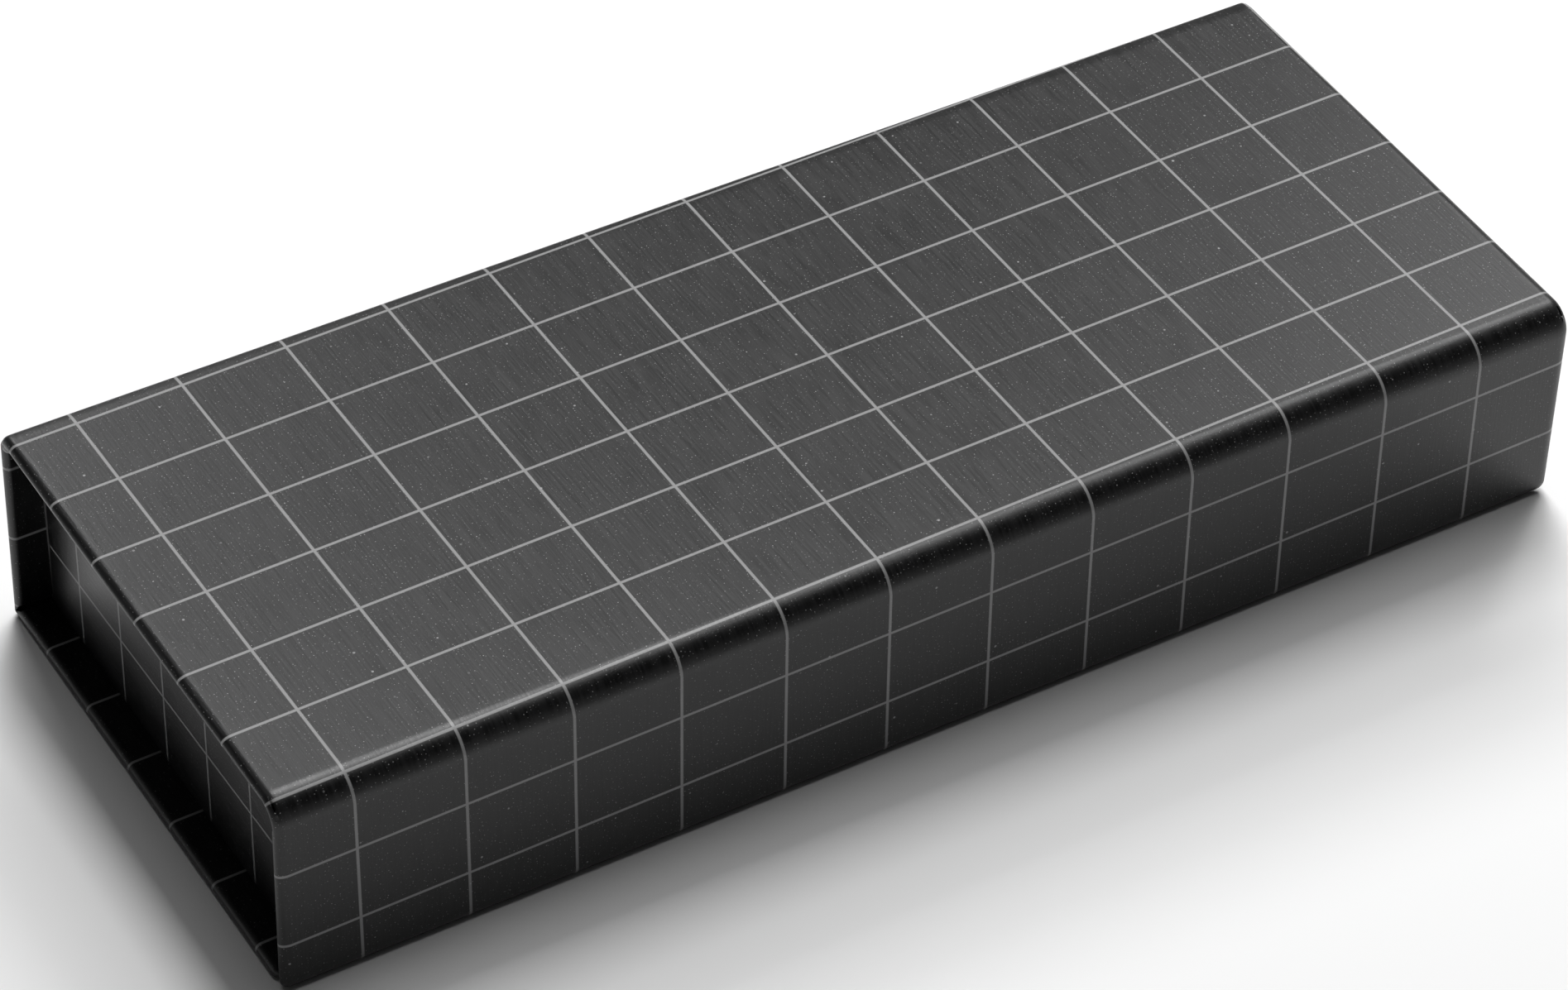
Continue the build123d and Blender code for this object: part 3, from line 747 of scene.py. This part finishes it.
def front_stations():
    """The top of the lid, the fold and the flap."""
    cut = Cut(dip_start_y, top_z)
    fold_y = flap_face_y + flap_fold
    lid_length = dip_start_y - fold_y
    even_marks = spaced(even_from_dip, lid_length - beside_fold, board_step)
    cut.run(fold_y, top_z, [0.0, beside_dip] + even_marks + [lid_length])
    fold_start = cut.travel
    cut.turn((fold_y, top_z - flap_fold), flap_fold, 90, 180, fold_steps)
    fold_end = cut.travel
    flap_length = top_z - flap_fold - flap_bottom
    even_marks = spaced(beside_fold, flap_length - edge_marks[-1], wall_step)
    cut.run(flap_face_y, flap_bottom, [0.0] + even_marks + [flap_length - mark for mark in edge_marks])
    for station in cut.stations:
        station.ruled = station.travel + print_corner_y - dip_start_y
        station.from_end = cut.travel - station.travel
        if station.travel <= fold_start + same_place or station.travel >= fold_end - same_place:
            station.board = lined_thickness
        station.reach = min(edge_reach, dip_edge_reach + station.travel / reach_growth)
        along_fold = station.travel - fold_start
        slit = max(0.0, 1.0 - abs(along_fold - slit_middle) / slit_half_length)
        tuck = max(0.0, 1.0 - abs(along_fold - tuck_middle) / tuck_half_length)
        station.crease = sqrt(slit) - tuck * tuck_share
    return merged(cut.stations)


def gathered_end(work, side, centre, radius):
    """The paper gathered at one end of the hinge: a short roll with a domed end."""
    rings = []
    for mark in gather_marks:
        reach = sqrt(radius**2 - max(0.0, radius - mark) ** 2)
        x = side * (half_length - gather_inset - mark)
        ring = []
        for index in range(gather_sides):
            angle = 2 * pi * index / gather_sides
            point = Vector((x, centre[0] + reach * cos(angle), centre[1] + reach * sin(angle)))
            ring.append(work.verts.new(point * MM))
        rings.append(ring)
    for ring, after in zip(rings, rings[1:]):
        for index in range(gather_sides):
            corners = [ring[index], ring[index - 1], after[index - 1], after[index]]
            work.faces.new(corners[::side])
    work.faces.new(rings[0][::side])
    work.faces.new(rings[-1][::-side])


def add_gathered_ends(piece, centre, radius):
    work = bmesh.new()
    work.from_mesh(piece.data)
    for side in (-1, 1):
        gathered_end(work, side, centre, radius)
    work.to_mesh(piece.data)
    work.free()
    smooth_by_angle(piece.data, sharp_paper)


spine_side, hinge_side = back_stations()
cover_back = cover("cover_back", spine_side, -1.0)
add_gathered_ends(cover_back, spine_gather, spine_gather_round)
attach(cover_back, "box")
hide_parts("base_wrap", "spine_wrap")

hinge_paper = cover("hinge_paper", hinge_side, -1.0)
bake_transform(hinge_paper)
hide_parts("lid_hinge_paper")

cover_front = cover("cover_front", front_stations(), 1.0)
add_gathered_ends(cover_front, lid_gather, lid_gather_round)
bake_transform(cover_front)
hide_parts("lid_wrap", "flap_fold_paper", "flap_wrap")


def tray_profile():
    """The cut through a wall's paper, as points (in from the outside, height), and the row of the edge that
    is turned in."""
    inner = tray_wall - paper_thickness
    quarter = [pi / 2 * index / tray_arc_steps for index in range(tray_arc_steps + 1)]
    levels = spaced(tray_bottom + above_tray_foot, tray_top - below_tray_rim, tray_height_step)
    profile = [(0.0, z) for z in [tray_bottom] + levels]
    for angle in quarter:
        profile.append((rim_round * (1 - cos(angle)), tray_top - rim_round * (1 - sin(angle))))
    for angle in quarter:
        profile.append((tray_wall - rim_round * (1 - sin(angle)), tray_top - rim_round * (1 - cos(angle))))
    edge_row = len(profile)
    profile += [(tray_wall, tray_top - turned_in), (inner, tray_top - turned_in)]
    profile += [(inner, tray_top - rim_round), (paper_thickness, tray_top - rim_round)]
    profile += [(paper_thickness, tray_bottom)]
    return profile, edge_row


def tray_ring():
    """The columns round the tray, as (x, y, signs of x and y, normal, way travelled), and the whole way. A
    corner's columns are at the sharp corner, and a wall's have signs of 0."""
    corners = [
        (tray_half, tray_front_y, -90), (tray_half, tray_back_y, 0),
        (-tray_half, tray_back_y, 90), (-tray_half, tray_front_y, 180),
    ]
    ring = []
    travel = 0.0
    for (x, y, start), (x_next, y_next, _) in zip(corners, corners[1:] + corners[:1]):
        sx, sy = (1 if x > 0 else -1), (1 if y > 0 else -1)
        for index in range(tray_arc_steps + 1):
            turned = index / tray_arc_steps
            angle = radians(start + 90 * turned)
            ring.append((x, y, sx, sy, cos(angle), sin(angle), travel + tray_corner * pi / 2 * turned))
        travel += tray_corner * pi / 2
        gap = hypot(x_next - x, y_next - y) - 2 * tray_corner
        nx, ny = cos(radians(start + 90)), sin(radians(start + 90))
        for mark in spaced(0.0, gap, tray_length_step)[1:-1]:
            wall_x = x - sx * tray_corner + tray_corner * nx - ny * mark
            wall_y = y - sy * tray_corner + tray_corner * ny + nx * mark
            ring.append((wall_x, wall_y, 0, 0, nx, ny, travel + mark))
        travel += gap
    return ring, travel


def tray_point(column, inset, z):
    """A point of the tray's paper, some way in from the outside."""
    x, y, sx, sy, nx, ny, _ = column
    if not sx:
        return x - nx * inset, y - ny * inset, z
    round_left = tray_corner - inset
    if round_left > 0:
        return x - sx * tray_corner + nx * round_left, y - sy * tray_corner + ny * round_left, z
    return x - sx * inset, y - sy * inset, z


def tray_wrap():
    """The paper round the tray's walls: up the outside, over the rounded rim and down the inside."""
    profile, edge_row = tray_profile()
    ring, way_round = tray_ring()
    ways_up = [0.0]
    for (inset, z), (inset_next, z_next) in zip(profile, profile[1:]):
        ways_up.append(ways_up[-1] + hypot(inset_next - inset, z_next - z))
    left_start = next(column for column in ring if abs(column[0] + tray_half) < same_place and not column[2])
    columns, rows = len(ring), len(profile)

    def corner(column, row):
        """A point's number and its place in the print; the column past the last is the first one again."""
        here = ring[column % columns]
        travel = here[6] + (way_round if column == columns else 0.0)
        y = left_start[1] - (travel - left_start[6])
        level = tray_bottom + ways_up[min(row, edge_row)]
        v = (y - tray_line_y - tray_lean * (level - tray_lean_from)) / tray_cell
        u = (level - tray_line_z + (y - tray_line_y) * tray_rise) / cell_length
        return column % columns * rows + row, (u, v)

    faces = []
    for column in range(columns):
        for row in range(rows):
            below = (row + 1) % rows
            sides = [(column, row), (column + 1, row), (column + 1, below), (column, below)]
            faces.append([corner(*side) for side in sides])
    vertices = [tray_point(column, inset, z) for column in ring for inset, z in profile]
    return printed_sheet("tray_paper", vertices, faces, weld=1e-7)


tray_paper = tray_wrap()
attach(tray_paper, "box")
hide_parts("tray_wrap")

# The pens' springs: the steps in a turn of the wire, and the wire's sides
coil_steps = 24
coil_sides = 10


def coil(name, turns, wire):
    """A pen's spring, in the room of its solid; it goes with its pen's body."""
    low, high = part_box(name)
    _, middle_y, middle_z = (low + high) / 2
    half_wire = wire * MM / 2
    radius = (high[2] - low[2]) / 2 - half_wire
    length = high[0] - low[0] - 2 * half_wire
    work = bmesh.new()
    rings = []
    for step in range(turns * coil_steps + 1):
        angle = 2 * pi * step / coil_steps
        x = low[0] + half_wire + length * step / (turns * coil_steps)
        out = Vector((0, cos(angle), sin(angle)))
        along = Vector((length / (2 * pi * turns), -radius * sin(angle), radius * cos(angle))).normalized()
        side = along.cross(out)
        centre = Vector((x, middle_y, middle_z)) + out * radius
        ring = []
        for index in range(coil_sides):
            turn = 2 * pi * index / coil_sides
            ring.append(work.verts.new(centre + (out * cos(turn) + side * sin(turn)) * half_wire))
        rings.append(ring)
    for ring, after in zip(rings, rings[1:]):
        for index in range(coil_sides):
            work.faces.new([ring[index - 1], ring[index], after[index], after[index - 1]])
    work.faces.new(rings[0])
    work.faces.new(rings[-1][::-1])
    bmesh.ops.recalc_face_normals(work, faces=work.faces)
    mesh = bpy.data.meshes.new(name + "_coil")
    work.to_mesh(mesh)
    work.free()
    smooth_by_angle(mesh, sharp_wire)
    piece = new_piece(name + "_coil", mesh, "spring_steel")
    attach(piece, name.split("_")[0])
    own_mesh(piece)
    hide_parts(name)


coil("ballpoint_spring", turns=6, wire=0.4)
coil("pencil_spring", turns=8, wire=0.5)

# Half the floor's width, and how far it lies under the base, in metres
floor_reach = 4.0
floor_drop = 0.00005


def stage():
    """A pale floor under the base."""
    signs = [(-1, -1), (1, -1), (1, 1), (-1, 1)]
    corners = [(floor_reach * sx, floor_reach * sy, -floor_drop) for sx, sy in signs]
    mesh = bpy.data.meshes.new("floor")
    mesh.from_pydata(corners, [], [(0, 1, 2, 3)])
    floor = bpy.data.objects.new("floor", mesh)
    bpy.context.scene.collection.objects.link(floor)
    finish = new_finish("floor_paper")
    shade = finish.noise(finish.solid_place(), size=400.0)
    base = finish.mix(shade, (0.86, 0.86, 0.86), (0.88, 0.88, 0.88))
    paint = finish.principled(Base_Color=base, Roughness=0.9, Specular_IOR_Level=0.2)
    mesh.materials.append(finish.surface(paint))


stage()


def soft_lamp(name, place, width, length, radiance, in_gloss=True):
    """A flat lamp that hangs level over the set and shines down at this radiance; its sizes are in metres."""
    lamp = bpy.data.lights.new(name, "AREA")
    lamp.shape = "RECTANGLE"
    lamp.size, lamp.size_y = width, length
    lamp.energy = radiance * width * length * pi
    holder = bpy.data.objects.new(name, lamp)
    bpy.context.scene.collection.objects.link(holder)
    holder.location = place
    holder.visible_glossy = in_gloss


soft_lamp("key_light", (0.36, 0.68, 1.6), width=0.40, length=0.56, radiance=17.1)
soft_lamp("key_light_end", (0.36, 0.12, 1.6), width=0.40, length=0.56, radiance=4.7)
soft_lamp("back_light", (0.36, 2.08, 1.6), width=0.40, length=0.64, radiance=16.9)
soft_lamp("side_light", (1.16, 0.68, 1.6), width=0.40, length=0.56, radiance=8.6)
soft_lamp("far_light", (1.56, 1.16, 1.6), width=0.40, length=0.40, radiance=27.4)
soft_lamp("back_fill", (0.9, 1.45, 1.2), width=1.0, length=1.0, radiance=12.5, in_gloss=False)
soft_lamp("top_fill", (0.0, 0.1, 2.0), width=1.0, length=1.0, radiance=1.9, in_gloss=False)

# The room's level, and the higher one that the gloss sees low down; it fades between two heights of a look
room_level = 0.03
low_level = 0.27
fade_from = 0.3
fade_to = 0.56


def surroundings():
    """A dim room around the set, lighter low down in the gloss; the camera itself sees it white."""
    world = bpy.data.worlds.new("studio")
    bpy.context.scene.world = world
    finish = Finish(world)
    seen = finish.node("ShaderNodeLightPath", output="Is Camera Ray")
    mirrored = finish.node("ShaderNodeLightPath", output="Is Glossy Ray")
    _, _, height = finish.parts(finish.node("ShaderNodeTexCoord", output="Generated"))
    glow = mirrored * height.between(fade_from, fade_to, low_level, room_level)
    level = seen.most(glow).most(room_level)
    room = finish.node("ShaderNodeBackground", None, {"Color": (1, 1, 1, 1), "Strength": level})
    finish.surface(room, "World")


surroundings()

# The camera stands where the photograph was taken from, as fitted to the printed grid and the box's outline.
# Its heading from Y towards X, how far down it looks, and its lean are in degrees.
camera_place = (-300.516, -483.988, 526.177)
camera_heading = 31.7101
camera_down = 42.1901
camera_lean = 1.8919
camera_lens = 134.26
camera_sensor = 36.0


def photo_camera():
    data = bpy.data.cameras.new("camera")
    data.lens = camera_lens
    data.sensor_width = camera_sensor
    data.sensor_fit = "HORIZONTAL"
    data.clip_start, data.clip_end = 0.01, 20.0
    camera = bpy.data.objects.new("camera", data)
    bpy.context.scene.collection.objects.link(camera)
    stand = Matrix.Translation(Vector(camera_place) * MM)
    for axis, angle in (("Z", -camera_heading), ("X", 90 - camera_down), ("Z", camera_lean)):
        stand = stand @ Matrix.Rotation(radians(angle), 4, axis)
    camera.matrix_world = stand
    bpy.context.scene.camera = camera


photo_camera()
bpy.context.scene.view_settings.view_transform = "Standard"
